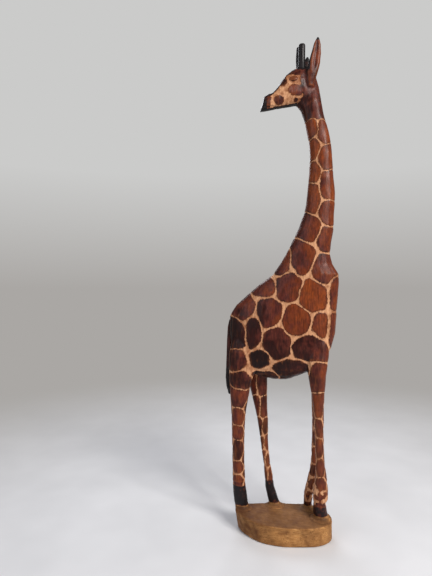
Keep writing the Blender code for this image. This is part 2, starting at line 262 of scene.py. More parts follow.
class Skin:
    """A mesh with its points as an array in millimetres, and named values on its points."""

    def __init__(self, mesh):
        self.mesh = mesh
        self.points = np.empty(len(mesh.vertices) * 3)
        mesh.vertices.foreach_get("co", self.points)
        self.points = self.points.reshape(-1, 3) / MM
        edges = np.empty(len(mesh.edges) * 2, dtype=np.int64)
        mesh.edges.foreach_get("vertices", edges)
        edges = edges.reshape(-1, 2)
        self.ends = np.concatenate((edges[:, 0], edges[:, 1]))
        self.others = np.concatenate((edges[:, 1], edges[:, 0]))
        self.degree = np.bincount(self.ends, minlength=len(self.points))

    def around(self, values):
        """The mean of each point's neighbours."""
        sums = [np.bincount(self.ends, values[self.others, k], len(self.points))
                for k in range(values.shape[1])]
        return np.stack(sums, axis=1) / self.degree[:, None]

    def smooth(self, passes, amount):
        """Taubin smoothing, which rounds facets off without shrinking the whole."""
        for _ in range(passes):
            for push in TAUBIN:
                shift = self.around(self.points) - self.points
                self.points += push * amount[:, None] * shift

    def normals(self):
        self.mesh.vertices.foreach_set("co", (self.points * MM).ravel())
        self.mesh.update()
        values = np.empty(len(self.points) * 3)
        self.mesh.vertex_normals.foreach_get("vector", values)
        return values.reshape(-1, 3)

    def push(self, distance):
        """Moves every point out along its normal."""
        self.points += self.normals() * np.reshape(distance, (-1, 1))

    def store(self, **values):
        self.normals()
        for name, value in values.items():
            attribute = self.mesh.attributes.new(name, "FLOAT", "POINT")
            attribute.data.foreach_set("value", np.ascontiguousarray(value, dtype=np.float32))


# ---------------------------------------------------------------- the carved surface

def smoothing_amounts(points):
    """Less smoothing on the base's edges, the hooves, the ears and the horns."""
    forward, _, z = head_frame(points)
    amount = np.ones(len(points))
    amount *= 1 - 0.75 * smoothstep(BASE_TOP + 1.5, BASE_TOP - 0.5, z)
    amount *= 1 - 0.5 * smoothstep(60, 30, z)
    amount *= 1 - 0.8 * smoothstep(CROWN_Z - 6, CROWN_Z + 4, z)
    amount *= 1 - 0.4 * smoothstep(30, 42, forward) * smoothstep(430, 440, z)
    return amount


def shape_base(skin):
    """A shallow dish, a left end that tapers in below, whittled sides and fillets at the feet."""
    points = skin.points
    x, y, z = points.T
    low, high = (np.array(corner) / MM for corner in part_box("base"))
    on_base = smoothstep(BASE_TOP + 1.0, BASE_TOP + 0.2, z)
    depth = np.clip(1 - z / BASE_TOP, 0, 1)
    taper = smoothstep(-15, low[0], x)
    points[:, 0] += on_base * 3.2 * depth * taper
    points[:, 1] += on_base * -0.08 * y * depth * taper
    sides = on_base * smoothstep(BASE_TOP - 1.0, BASE_TOP - 4.0, z) * smoothstep(0.5, 3.0, z)
    radial = points[:, :2] / np.linalg.norm(points[:, :2] + 1e-6, axis=1, keepdims=True)
    whittle = 0.35 * waves(points * (1, 1, 0.4), 17, SEED) - 0.35
    points[:, :2] += radial * (sides * whittle)[:, None]
    top = smoothstep(BASE_TOP - 1.0, BASE_TOP - 0.3, z) * on_base
    outline = np.clip(np.hypot(x / high[0], y / high[1]), 0, 1)
    points[:, 2] -= top * (0.9 * (1 - outline ** 2) + 0.12 * (1 + waves(points, 9, SEED + 1)))
    flare_feet(points)


def flare_feet(points):
    """Bare wood spreads out round each foot where it meets the base, but not past its edge."""
    outline = node_points("base")
    outline = outline[np.argsort(np.arctan2(outline[:, 1], outline[:, 0]))]
    turns = np.arctan2(outline[:, 1], outline[:, 0])
    reaches = np.hypot(outline[:, 0], outline[:, 1])
    for name in LEG_SPOTS:
        middle, half = foot_outline(name)
        offset = points[:, :2] - middle
        reach = np.linalg.norm(offset / half, axis=1) + 1e-6
        away = (reach - 1) * reach / np.linalg.norm(offset / half ** 2, axis=1)
        rise = points[:, 2] - BASE_TOP
        spread = FLARE * np.clip(1 - np.clip(rise, 0, None) / FLARE_HEIGHT, 0, 1) ** 3
        spread *= np.clip(1 - np.clip(away, 0, None) / (2.6 * FLARE), 0, 1)
        spread *= smoothstep(-2.0, -0.5, rise)
        outwards = offset / np.linalg.norm(offset, axis=1, keepdims=True)
        moved = points[:, :2] + outwards * spread[:, None]
        turn = np.arctan2(moved[:, 1], moved[:, 0])
        room = 0.985 * np.interp(turn, turns, reaches, period=2 * math.pi)
        now, before = np.linalg.norm(moved, axis=1), np.linalg.norm(points[:, :2], axis=1)
        kept = np.minimum(now, np.maximum(room, before))
        points[:, :2] = moved * (kept / now)[:, None]


def foot_outline(name):
    """The middle and half size of a foot where it stands on the base."""
    corners = node_points(f"hoof_{name}")
    corners = corners[corners[:, 2] < BASE_TOP + 1.0, :2]
    low, high = corners.min(axis=0), corners.max(axis=0)
    return (low + high) / 2, (high - low) / 2


def carve_face(skin):
    """Eyes with lids, nostrils, the mouth's line and a groove under the jaw."""
    forward, side, z = head_frame(skin.points)
    eye = eye_reach(forward, z)
    on_side = smoothstep(4.0, 6.0, np.abs(side)) * (z > EYE_REGION) * (forward > 2)
    shift = on_side * (0.85 * np.clip(1 - eye ** 2, 0, 1)
                       - 0.55 * bump_at(eye, 1.08, 0.16)
                       + 0.45 * bump_at(eye, 1.42, 0.2)
                       - 0.25 * bump_at(eye, 1.85, 0.3))
    on_nose = (z < 470) & (z > HEAD_BOTTOM) & (forward > 28)
    nostril = np.hypot((forward - 44.0) / 1.7, (z - 457.0) / 1.3)
    shift -= on_nose * smoothstep(2.5, 4.0, np.abs(side)) * 0.9 * bump_at(nostril, 0, 1.0)
    mouth_z = 449.0 + 0.06 * (48 - forward)
    mouth = bump_at(z, mouth_z, 0.55) * smoothstep(29, 33, forward)
    shift -= on_nose * 0.6 * mouth
    cheek = np.hypot((forward - 17) / 8, (z - 464) / 8)
    shift += (z > 445) * (forward > 6) * 0.5 * bump_at(cheek, 0.0, 0.8)
    skin.push(shift)


def eye_reach(forward, z):
    """1 on the almond outline of the eye, and less inside it."""
    tilt = math.radians(12)
    along = (forward - EYE[0]) * math.cos(tilt) - (z - EYE[1]) * math.sin(tilt)
    across = (forward - EYE[0]) * math.sin(tilt) + (z - EYE[1]) * math.cos(tilt)
    taper = np.clip(1 - (along / (EYE_LENGTH * 1.15)) ** 2, 0.15, 1)
    return np.maximum(np.abs(across) / (EYE_HEIGHT * taper), np.abs(along) / EYE_LENGTH)


def carve_ears(skin):
    """A long hollow in the outer front face of each ear."""
    forward, side, z = head_frame(skin.points)
    for name, sign in (("ear_left", 1), ("ear_right", -1)):
        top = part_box(name)[1][2] / MM
        middle = -5.0 - 3.4 * smoothstep(CROWN_Z - 18, top, z)
        width = 2.3 * (1 - 0.6 * smoothstep(CROWN_Z, top, z))
        stretch = smoothstep(CROWN_Z - 14, CROWN_Z - 4, z) * smoothstep(top - 1, top - 8, z)
        outer = smoothstep(11.5, 13.0, sign * side)
        depth = 1.3 * stretch * outer * bump_at(forward, middle, width)
        skin.points[:, 0] -= sign * depth * math.sin(HEAD_YAW)
        skin.points[:, 1] += sign * depth * math.cos(HEAD_YAW)


def carve_hooves(skin):
    """A cleft up the front of each hoof, and a crease above the burnt part."""
    x, y, z = skin.points.T
    shift = np.zeros(len(x))
    for name in LEG_SPOTS:
        corners = node_points(f"hoof_{name}")
        low, high = corners.min(axis=0), corners.max(axis=0)
        middle = (low + high) / 2
        near = (np.abs(x - middle[0]) < CLEFT_REACH[0]) & (np.abs(y - middle[1]) < CLEFT_REACH[1])
        near &= z > BASE_TOP
        front = smoothstep(0.0, 3.0, x - middle[0])
        rise = smoothstep(BASE_TOP + 1.5, BASE_TOP + 4.0, z) * smoothstep(high[2], high[2] - 6, z)
        shift -= near * front * rise * 0.9 * bump_at(y, middle[1], 0.9)
        shift -= near * 0.35 * bump_at(z, high[2] + 0.5, 1.2)
    skin.push(shift)


def shape_muscles(skin):
    """Soft swellings at the shoulder, the haunch and the chest, and a hollow in the flank."""
    x, y, z = skin.points.T
    shift = 0.7 * bump_at(np.hypot((x - 30) / 16, (z - 205) / 24), 0, 1)
    shift += 0.8 * bump_at(np.hypot((x + 40) / 14, (z - 196) / 24), 0, 1)
    shift -= 0.7 * bump_at(np.hypot((x + 12) / 10, (z - 188) / 16), 0, 1)
    shift -= 0.4 * bump_at(np.hypot((x - 40) / 8, (z - 236) / 10), 0, 1)
    on_flank = smoothstep(4, 10, np.abs(y - BODY_Y))
    skin.push(shift * on_flank * (z > BODY_BOTTOM))


def knife_marks(skin):
    """Slightly uneven flats from the knife, longer up the grain."""
    points = skin.points
    above_base = smoothstep(BASE_TOP + 1, BASE_TOP + 5, points[:, 2])
    broad = 0.16 * waves(points * (1, 1, 0.35), 6.5, SEED + 2)
    fine = 0.05 * waves(points * (1, 1, 0.25), 2.6, SEED + 3)
    skin.push(above_base * (broad + fine))


# ---------------------------------------------------------------- the spots

def surface_point(points, x, z, far):
    """The outermost place on the skin's near or far side at this x and z."""
    miss = np.hypot(points[:, 0] - x, points[:, 2] - z)
    found = points[miss < miss.min() + 1.0]
    return found[np.argmax(found[:, 1]) if far else np.argmin(found[:, 1])]


def body_spots(points):
    """Rows of place, reach, tone and group. The far side's spots are moved about a little."""
    rng = np.random.default_rng(SEED)
    rows = []
    for group, (x, z, length, height, tone, over_ridge) in enumerate(BODY_SPOTS):
        reach = (length, 0.5 * (length + height), height)
        rows.append((*surface_point(points, x, z, False), *reach, tone, group))
        dx, dz = (0, 0) if over_ridge else rng.uniform(-3.0, 3.0, 2)
        twin = group if over_ridge else group + 100
        rows.append((*surface_point(points, x + dx, z + dz, True), *reach, tone, twin))
    return rows


def leg_spots(points):
    """Spots down the outer and inner faces of the legs, and staggered ones between them."""
    rows = []
    rng = np.random.default_rng(SEED + 5)
    for leg, (name, (start, heights)) in enumerate(LEG_SPOTS.items()):
        corners = node_points(f"leg_{name}")
        outside = -1 if name.endswith("right") else 1
        steps = -np.diff(heights)
        for k, z in enumerate(heights):
            reach_z = 0.5 * steps[min(k, len(steps) - 1)]
            for face in range(4):
                level = z if start or face % 2 == 0 else z - reach_z
                level += rng.uniform(-1.5, 1.5) if face else 0.0
                middle, half = leg_section(corners, points, level)
                turn = math.radians(start + 90 * face)
                across = outside * math.cos(turn)
                along = math.sin(turn)
                place = (middle[0] + along * half[0], middle[1] + across * half[1], level)
                wide = TURNED_LEG_REACH if start else LEG_REACHES[face % 2]
                reach = np.array((half[0], half[1], reach_z)) * wide
                tone = 0.18 + 0.12 * (leg > 1) + rng.uniform(-0.2, 0.2)
                rows.append((*place, *reach, tone, 200 + 50 * leg + 4 * k + face))
    return rows


def leg_section(corners, points, level):
    """The middle and half size of a leg at one height."""
    low, high = corners.min(axis=0), corners.max(axis=0)
    inside = ((points[:, 0] > low[0] - 2) & (points[:, 0] < high[0] + 2)
              & (points[:, 1] > low[1] - 2) & (points[:, 1] < high[1] + 2)
              & (np.abs(points[:, 2] - level) < 1.0))
    ring = points[inside]
    return (ring.max(axis=0) + ring.min(axis=0)) / 2, (ring.max(axis=0) - ring.min(axis=0)) / 2


def spot_edges(points, rows):
    """How far each point lies inside its spot's edge, and the spot's tone, with painted light that
    turns it more orange towards +X.
    """
    rows = np.array(rows)
    places, reaches, tones, groups = rows[:, :3], rows[:, 3:6], rows[:, 6], rows[:, 7]
    wander = np.stack([waves(points, 14, SEED + 10 + k) for k in range(3)], axis=1)
    points = points + 0.9 * wander
    inside = np.empty(len(points))
    tone = np.empty(len(points))
    for part in np.array_split(np.arange(len(points)), len(points) // 3000 + 1):
        offset = (points[part, None] - places) / reaches
        distance = np.linalg.norm(offset, axis=2) + 1e-9
        slope = offset / reaches / distance[..., None]
        first = distance.argmin(axis=1)
        row = np.arange(len(part))
        apart = np.linalg.norm(slope - slope[row, first][:, None], axis=2) + 1e-9
        gap = (distance - distance[row, first][:, None]) / apart
        gap[groups == groups[first][:, None]] = 99.0
        rounding = np.interp(points[part, 2], *ROUNDING)
        ease = np.exp(-gap / rounding[:, None]).sum(axis=1)
        inside[part] = -rounding * np.log(ease)
        # painted light: above the legs each spot turns more orange towards +X, the side the key
        # light falls on, and darker towards -X
        tone[part] = tones[first] + 0.16 * offset[row, first, 0] * (points[part, 2] > 160)
    return inside, tone


def blob_edges(points):
    """The same for the head, whose ground is pale and whose spots are ellipsoids."""
    forward, side, z = head_frame(points)
    side = np.abs(side)
    wander = 0.5 * waves(points, 7, SEED + 20)
    inside = np.full(len(points), -9.0)
    tone = np.zeros(len(points))
    for f, s, h, reach_f, reach_s, reach_h, spot_tone in HEAD_SPOTS:
        offset = np.stack(((forward - f) / reach_f, (side - s) / reach_s, (z - h) / reach_h))
        reach = np.linalg.norm(offset, axis=0)
        depth = (1 - reach) * min(reach_f, reach_h) + wander
        tone = np.where(depth > inside, spot_tone, tone)
        inside = np.maximum(inside, depth)
    eye = np.where((side > 5) & (z > EYE_REGION), (1 - eye_reach(forward, z)) * EYE_HEIGHT, -9)
    tone = np.where(eye > inside, 0.0, tone)
    return np.maximum(inside, eye), tone


def half_line_width(points):
    """Half the pale lines' width, which is widest on the trunk and wanders as they were cut."""
    width = np.interp(points[:, 2], *HALF_LINE)
    return width * (1 + 0.3 * waves(points, 9, SEED + 50))


def smoke_amount(points):
    """How far the pale wood is browned, from 0 to 1: by handling and the flame, and as painted
    shade towards the rump, low on the legs and at the base's left end.
    """
    x, _, z = points.T
    forward = head_frame(points)[0]
    smoke = 0.22 + 0.22 * waves(points, 16, SEED + 51) + 0.15 * waves(points, 5, SEED + 52)
    # painted shade: darker towards the rump, away from the key light
    smoke += 0.35 * smoothstep(-15, -50, x) * (z > BODY_BOTTOM)
    smoke += 0.6 * smoothstep(46, 51, x) * (z > BODY_BOTTOM)
    # painted shade: darker low on the legs
    smoke += 0.2 * smoothstep(150, 60, z)
    smoke += 0.3 * smoothstep(390, 430, z) * smoothstep(22, 12, forward)
    # painted shade: the base's left end, away from the key light
    smoke += 0.45 * smoothstep(0, -45, x) * (z < 23)
    smoke += 0.5 * smoothstep(15, 4, forward) * (z > HEAD_BOTTOM)
    smoke += 0.45 * np.clip(waves(points, 5, SEED + 53), 0, 1) * (z > HEAD_BOTTOM)
    smoke += 0.55 * smoothstep(466, 480, z)
    return np.clip(smoke, 0, 1)


def burnt_amount(points, normals):
    """Where the wood is burnt black: hooves, nose, horns, ear tips and brow line; and painted shade
    under the jaw.
    """
    forward, side, z = head_frame(points)
    wander = waves(points, 5, SEED + 30)
    burnt = np.zeros(len(points))
    for name, (low, high, strength) in BURNT_HOOVES.items():
        near = near_hoof(points, name)
        band = smoothstep(low - 1, low + 1, z + 0.8 * wander)
        band *= smoothstep(high + 1.2, high - 1.2, z + wander)
        flaked = 1 - 0.45 * np.clip(waves(points, 4, SEED + 31), 0, 1)
        burnt = np.maximum(burnt, near * band * strength * flaked)
    on_head = smoothstep(438, 444, z)
    nose = smoothstep(42.3, 44.6, forward - 0.24 * (z - 455) + 0.7 * wander)
    burnt = np.maximum(burnt, nose * on_head)
    smear = 0.3 * smoothstep(37.5, 40, forward + 0.8 * wander)
    burnt = np.maximum(burnt, smear * on_head)
    in_front = smoothstep(8, 14, forward)
    ridge = smoothstep(0.25, 0.5, normals[:, 2]) * smoothstep(7.5, 5.0, np.abs(side) + 0.8 * wander)
    burnt = np.maximum(burnt, 0.72 * ridge * in_front * on_head)
    # painted shade: faces that look down, under the jaw, are darkened like burnt wood
    jaw = smoothstep(-0.72, -0.95, normals[:, 2])
    burnt = np.maximum(burnt, 0.85 * jaw * smoothstep(6, 12, forward) * on_head)
    horn = np.hypot(forward - 5.0, np.maximum(np.abs(side) - 4.6, 0))
    horn_mask = smoothstep(7.0, 4.5, horn) * smoothstep(486, 490.5, z + wander)
    burnt = np.maximum(burnt, horn_mask)
    between = bump_at(np.hypot(forward + 1.0, (z - 489) / 2.4), 0, 4.5) * (np.abs(side) < 12)
    burnt = np.maximum(burnt, 0.6 * between)
    haze = bump_at(np.hypot((forward - 6) / 3.0, (z - 473) / 12), 0, 1) * (np.abs(side) > 5)
    burnt = np.maximum(burnt, 0.45 * haze)
    on_ear = smoothstep(8.6, 10, np.abs(side)) * smoothstep(482, 488, z)
    inner = smoothstep(13.2, 12.0, np.abs(side)) * smoothstep(488, 494, z)
    burnt = np.maximum(burnt, 0.7 * on_ear * inner)
    edge = -1.0 - 4.5 * smoothstep(CROWN_Z - 10, 519, z)
    ear_front = smoothstep(edge - 1.2, edge + 0.8, forward) * (forward < 2.2)
    burnt = np.maximum(burnt, 0.9 * on_ear * ear_front)
    for name, sign, length in (("ear_left", 1, 5.0), ("ear_right", -1, 11.0)):
        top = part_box(name)[1][2] / MM
        tip = smoothstep(top - length, top - 0.4 * length, z) * (sign * side > 0)
        burnt = np.maximum(burnt, on_ear * tip)
    return np.clip(burnt, 0, 1)


def spot_values(points, normals):
    """Every value that the materials read, at these points."""
    z = points[:, 2]
    forward = head_frame(points)[0]
    inside, tone = spot_edges(points, body_spots(points) + leg_spots(points))
    inside -= half_line_width(points)
    fetlock = smoothstep(62, 48, z) * (points[:, 0] > 10)
    inside = inside * (1 - 0.4 * fetlock) - fetlock * (0.6 + 1.7 * waves(points, 5, SEED + 60))
    head_inside, head_tone = blob_edges(points)
    on_head = head_weight(points)
    inside = np.where(on_head, head_inside, inside)
    tone = np.where(on_head, head_tone, tone)
    on_ear = on_head & (z > EAR_ROOT) & (forward < 2)
    tone = np.where(on_ear, 0.25, tone)
    inside = np.where(z > EAR_ROOT, np.maximum(inside, 4.0), inside)
    # burnt also holds the painted shade under the jaw
    burnt = burnt_amount(points, normals)
    inside = np.maximum(inside, np.where(on_head & (burnt > 0.5), 3.0, -9.0))
    inside = np.where(below_hoof_tops(points), np.maximum(inside, 2.0), inside)
    bare = smoothstep(25.0, 22.8, z + 0.7 * waves(points, 6, SEED + 40))
    return {"inside": inside, "tone": tone, "burnt": burnt * (1 - bare), "bare": bare,
            "smoke": smoke_amount(points)}


def below_hoof_tops(points):
    """True on the burnt hooves and below them."""
    found = points[:, 2] < BASE_TOP
    for name, (_, high, _) in BURNT_HOOVES.items():
        found |= near_hoof(points, name) & (points[:, 2] < high)
    return found


def near_hoof(points, name):
    """True at any height over one hoof."""
    corners = node_points(f"hoof_{name}")
    middle = (corners.min(axis=0) + corners.max(axis=0)) / 2
    return ((np.abs(points[:, 0] - middle[0]) < HOOF_REACH[0])
            & (np.abs(points[:, 1] - middle[1]) < HOOF_REACH[1]))


def head_weight(points):
    """True on the head's side of the kerf between the neck and the head."""
    centre, normal, _ = kerf_plane("neck", "head")
    return ((points - centre) @ normal > 0) & (points[:, 2] > HEAD_BOTTOM)


# ---------------------------------------------------------------- parting at the kerfs

def kerf_plane(one, other):
    """Centre, normal towards the other node, and radius of the kerf between two CAD nodes."""
    near, far = node_points(one), node_points(other)
    tree = kdtree.KDTree(len(far))
    for k, point in enumerate(far):
        tree.insert(point, k)
    tree.balance()
    found = [(point, tree.find(point)) for point in near]
    touching = [(point, np.array(hit[0])) for point, hit in found if hit[2] < KERF_SEARCH]
    sides = np.array([point for point, _ in touching])
    across = np.array([hit - point for point, hit in touching]).mean(axis=0)
    centre = sides.mean(axis=0)
    _, _, axes = np.linalg.svd(sides - centre)
    normal = axes[2] * np.sign(axes[2] @ across)
    return centre + across / 2, normal, np.linalg.norm(sides - centre, axis=1).max()


def kerfs():
    """Every kerf as centre, normal and radius."""
    planes = []
    for name in LEG_SPOTS:
        planes.append(kerf_plane(f"hoof_{name}", f"leg_{name}"))
        planes.append(kerf_plane(f"leg_{name}", "trunk"))
        corners = node_points(f"hoof_{name}")
        feet = corners[corners[:, 2] < BASE_TOP + 1.0]
        centre = feet.mean(axis=0)
        centre[2] = BASE_TOP + 0.15
        planes.append((centre, np.array((0.0, 0.0, 1.0)), FOOT_KERF_REACH))
    for pair in (("trunk", "neck"), ("neck", "head"), ("head", "muzzle")):
        planes.append(kerf_plane(*pair))
    for name in ("ear_left", "ear_right", "horn_left", "horn_right"):
        planes.append(kerf_plane(name, "head"))
    return planes


def part_at_kerfs(mesh):
    """Cuts the skin along every kerf."""
    bm = bmesh.new()
    bm.from_mesh(mesh)
    for centre, normal, radius in kerfs():
        centre = Vector(centre * MM)
        normal = Vector(normal)
        reach = (radius + 2.0) * MM
        height = {vert: (vert.co - centre).dot(normal) for vert in bm.verts
                  if (vert.co - centre).length < reach}
        faces = [face for face in dict.fromkeys(f for vert in height for f in vert.link_faces)
                 if min(height.get(vert, 1) for vert in face.verts) <= 0
                 <= max(height.get(vert, -1) for vert in face.verts)]
        edges = dict.fromkeys(edge for face in faces for edge in face.edges)
        verts = dict.fromkeys(vert for face in faces for vert in face.verts)
        cut = bmesh.ops.bisect_plane(bm, geom=[*verts, *edges, *faces], dist=0.01 * MM,
                                     plane_co=centre, plane_no=normal)
        seam = [item for item in cut["geom_cut"] if isinstance(item, bmesh.types.BMEdge)]
        bmesh.ops.split_edges(bm, edges=seam)
    bm.to_mesh(mesh)
    bm.free()


def islands(mesh):
    """The index of the connected island that each vertex belongs to."""
    count = len(mesh.vertices)
    edges = np.empty(len(mesh.edges) * 2, dtype=np.int64)
    mesh.edges.foreach_get("vertices", edges)
    edges = edges.reshape(-1, 2)
    label = np.arange(count)
    while True:
        lowest = np.minimum(label[edges[:, 0]], label[edges[:, 1]])
        after = label.copy()
        np.minimum.at(after, edges[:, 0], lowest)
        np.minimum.at(after, edges[:, 1], lowest)
        after = after[after]
        if (after == label).all():
            return label
        label = after


def sub_mesh(mesh, chosen, name):
    """A new mesh of the faces whose vertices are chosen, with the same values on its points."""
    bm = bmesh.new()
    bm.from_mesh(mesh)
    bm.verts.ensure_lookup_table()
    unwanted = [bm.verts[k] for k in np.flatnonzero(~chosen)]
    bmesh.ops.delete(bm, geom=unwanted, context="VERTS")
    open_edges = [edge for edge in bm.edges if edge.is_boundary]
    bmesh.ops.holes_fill(bm, edges=open_edges, sides=0)
    bmesh.ops.recalc_face_normals(bm, faces=bm.faces)
    piece = bpy.data.meshes.new(name)
    bm.to_mesh(piece)
    bm.free()
    return piece


def box_of(points):
    """The low and high corners of these points, in one row."""
    return np.concatenate((points.min(axis=0), points.max(axis=0)))


def make_pieces(mesh, nodes, materials):
    """One closed piece for each CAD node, from the island that fills the same box."""
    points = np.empty(len(mesh.vertices) * 3)
    mesh.vertices.foreach_get("co", points)
    points = points.reshape(-1, 3) / MM
    label = islands(mesh)
    labels, counts = np.unique(label, return_counts=True)
    boxes = {k: box_of(points[label == k]) for k in labels[counts > SMALLEST_ISLAND]}
    for name in nodes:
        target = box_of(node_points(name))
        best = min(boxes, key=lambda k: np.abs(boxes[k] - target).sum())
        add_piece(sub_mesh(mesh, label == best, name), name, materials)


def add_piece(mesh, name, materials):
    """Puts a finished mesh into the scene in place of its CAD node."""
    slot_name = SLOT_OF[name.split("_")[0]]
    mesh.materials.append(materials[slot_name])
    mesh.shade_smooth()
    mesh.set_sharp_from_angle(angle=math.radians(60))
    piece = bpy.data.objects.new(f"carved_{name}", mesh)
    bpy.context.scene.collection.objects.link(piece)
    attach(piece, "root")
    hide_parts(name)


def make_body(materials):
    """Everything but the tail is sculpted as one skin, then parted at the kerfs."""
    nodes = [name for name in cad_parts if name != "tail"]
    skin = Skin(remeshed(grown_copy(nodes, GROW), VOXEL))
    skin.push(-GROW)
    passes = int(SMOOTHING * (0.6 / VOXEL) ** 2)
    skin.smooth(passes, smoothing_amounts(skin.points))
    shape_base(skin)
    skin.smooth(SETTLING[0], np.full(len(skin.points), SETTLING[1]))
    shape_muscles(skin)
    normals = skin.normals()
    values = spot_values(skin.points, normals)
    carve_face(skin)
    carve_ears(skin)
    carve_hooves(skin)
    knife_marks(skin)
    groove = smoothstep(0.3, -0.7, values["inside"]) * (1 - values["bare"])
    skin.push(-LINE_DEPTH * groove * smoothstep(20, 60, skin.points[:, 2]))
    # The hollow value measures how deep each point lies in a hollow, and is below 0 on ridges; the
    # finish reads it to paint shade in hollows and a highlight on ridges.
    settled = skin.points.copy()
    for _ in range(HOLLOW_PASSES):
        settled += 0.6 * (skin.around(settled) - settled)
    hollow = ((settled - skin.points) * skin.normals()).sum(axis=1)
    skin.store(hollow=hollow, **values)
    part_at_kerfs(skin.mesh)
    make_pieces(skin.mesh, nodes, materials)


def make_tail(materials):
    """The tail, with burnt strands in its tuft."""
    skin = Skin(remeshed(grown_copy(["tail"], 0.0), TAIL_VOXEL))
    skin.smooth(14, np.full(len(skin.points), 0.8))
    points = skin.points
    tuft = smoothstep(176, 164, points[:, 2])
    strands = np.sin(points[:, 0] * 4.2 + 0.25 * points[:, 2]) * np.cos(points[:, 1] * 3.6)
    skin.push(tuft * (0.28 * strands - 0.28))
    z = points[:, 2]
    full = np.full(len(points), 3.0)
    skin.store(hollow=0 * z, inside=full, tone=0 * z + 0.12, bare=0 * z, smoke=0 * z,
               burnt=np.clip(0.25 + tuft, 0, 1))
    bm = bmesh.new()
    bm.from_mesh(skin.mesh)
    bmesh.ops.recalc_face_normals(bm, faces=bm.faces)
    bm.to_mesh(skin.mesh)
    bm.free()
    add_piece(skin.mesh, "tail", materials)


# ---------------------------------------------------------------- materials

def paint(rgb):
    """A screen colour, 0 to 255, as the linear colour that a shader takes."""
    return (*(((c / 255 + 0.055) / 1.055) ** 2.4 if c > 10 else c / 3295 for c in rgb), 1.0)


class Graph:
    """Short calls that build one material's nodes."""

    def __init__(self, name):
        self.material = bpy.data.materials.new(name)
        self.material.use_nodes = True
        self.tree = self.material.node_tree
        self.shader = self.tree.nodes["Principled BSDF"]
        self.place = self.add("ShaderNodeTexCoord").outputs["Object"]
        geometry = self.add("ShaderNodeNewGeometry")
        self.normal = self.add("ShaderNodeSeparateXYZ", {0: geometry.outputs["Normal"]})

    def add(self, kind, inputs=None, **settings):
        node = self.tree.nodes.new(kind)
        for key, value in settings.items():
            setattr(node, key, value)
        for socket, value in (inputs or {}).items():
            if isinstance(value, bpy.types.NodeSocket):
                self.tree.links.new(value, node.inputs[socket])
            else:
                node.inputs[socket].default_value = value
        return node

    def value(self, name):
        return self.add("ShaderNodeAttribute", attribute_name=name).outputs["Fac"]

    def math(self, operation, one, other=0.0):
        return self.add("ShaderNodeMath", {0: one, 1: other}, operation=operation).outputs[0]

    def noise(self, size, detail=3.0, roughness=0.55):
        """Noise whose grain is this many millimetres along each axis."""
        scale = tuple(1 / (MM * s) for s in size)
        place = self.add("ShaderNodeMapping", {"Vector": self.place, "Scale": scale})
        inputs = {"Vector": place.outputs[0], "Scale": 1.0, "Detail": detail,
                  "Roughness": roughness}
        return self.add("ShaderNodeTexNoise", inputs).outputs["Fac"]

    def step(self, low, high, value, bottom=0.0, top=1.0):
        inputs = {"Value": value, "From Min": low, "From Max": high, "To Min": bottom,
                  "To Max": top}
        node = self.add("ShaderNodeMapRange", inputs, interpolation_type="SMOOTHSTEP")
        return node.outputs["Result"]

    def ramp(self, value, stops):
        node = self.add("ShaderNodeValToRGB", {0: value})
        elements = node.color_ramp.elements
        while len(elements) < len(stops):
            elements.new(0.5)
        for element, (place, rgb) in zip(elements, stops):
            element.position = place
            element.color = paint(rgb)
        return node.outputs["Color"]

    def mix(self, amount, one, other, blend="MIX"):
        node = self.add("ShaderNodeMix", data_type="RGBA", blend_type=blend)
        for socket, value in ((0, amount), (6, one), (7, other)):
            if isinstance(value, bpy.types.NodeSocket):
                self.tree.links.new(value, node.inputs[socket])
            else:
                node.inputs[socket].default_value = value
        return node.outputs[2]

    def grey(self, value):
        """A factor as a colour, for multiplying another colour."""
        return self.add("ShaderNodeCombineColor", {0: value, 1: value, 2: value}).outputs[0]


def stain_colour(g, grain, inside):
    """Maroon to orange stain, streaked up the grain and scorched darker at each spot's rim."""
    cloudy = g.noise((11, 11, 14), 2.0)
    tone = g.math("ADD", g.value("tone"), g.step(0.3, 0.75, cloudy, -0.2, 0.25))
    colour = g.ramp(tone, STAIN)
    # low tones darken the stain further; the lowest, on the rump and low on the belly, are partly
    # painted shade
    colour = g.mix(1.0, colour, g.grey(g.step(-0.6, 0.1, tone, 0.35, 1.0)), "MULTIPLY")
    streak = g.step(0.3, 0.72, grain, 0.62, 1.28)
    colour = g.mix(1.0, colour, g.grey(streak), "MULTIPLY")
    blotch = g.noise((2.2, 2.2, 4.0), 4.0)
    colour = g.mix(1.0, colour, g.grey(g.step(0.3, 0.7, blotch, 0.78, 1.18)), "MULTIPLY")
    rim = g.math("ADD", inside, g.step(0.3, 0.7, cloudy, -0.5, 0.6))
    return g.mix(g.step(0.2, 2.2, rim, 0.62, 0.0), colour, paint((34, 13, 9)))


def bare_wood_colour(g):
    """Tan wood with a level grain, dark pores, and a darker top than its sides, partly dirt and
    partly painted shade.
    """
    grain = g.noise((16, 1.5, 1.1), 5.0, 0.65)
    colour = g.ramp(grain, BARE_WOOD)
    pores = g.noise((1.7, 0.8, 0.8), 3.0, 0.75)
    colour = g.mix(g.step(0.54, 0.66, pores, 0.0, 0.8), colour, paint((74, 44, 24)))
    patchy = g.noise((20, 14, 9), 2.0)
    colour = g.mix(g.step(0.4, 0.7, patchy, 0.0, 0.28), colour, paint((112, 66, 36)))
    # browning, and painted shade at the base's left end
    colour = g.mix(g.math("MULTIPLY", g.value("smoke"), 0.9), colour, paint((84, 46, 20)))
    # partly dirt and partly painted shade: faces that look up are darkened
    top = g.step(0.55, 0.95, g.normal.outputs["Z"], 0.0, 0.55)
    return g.mix(top, colour, paint((100, 66, 46))), grain


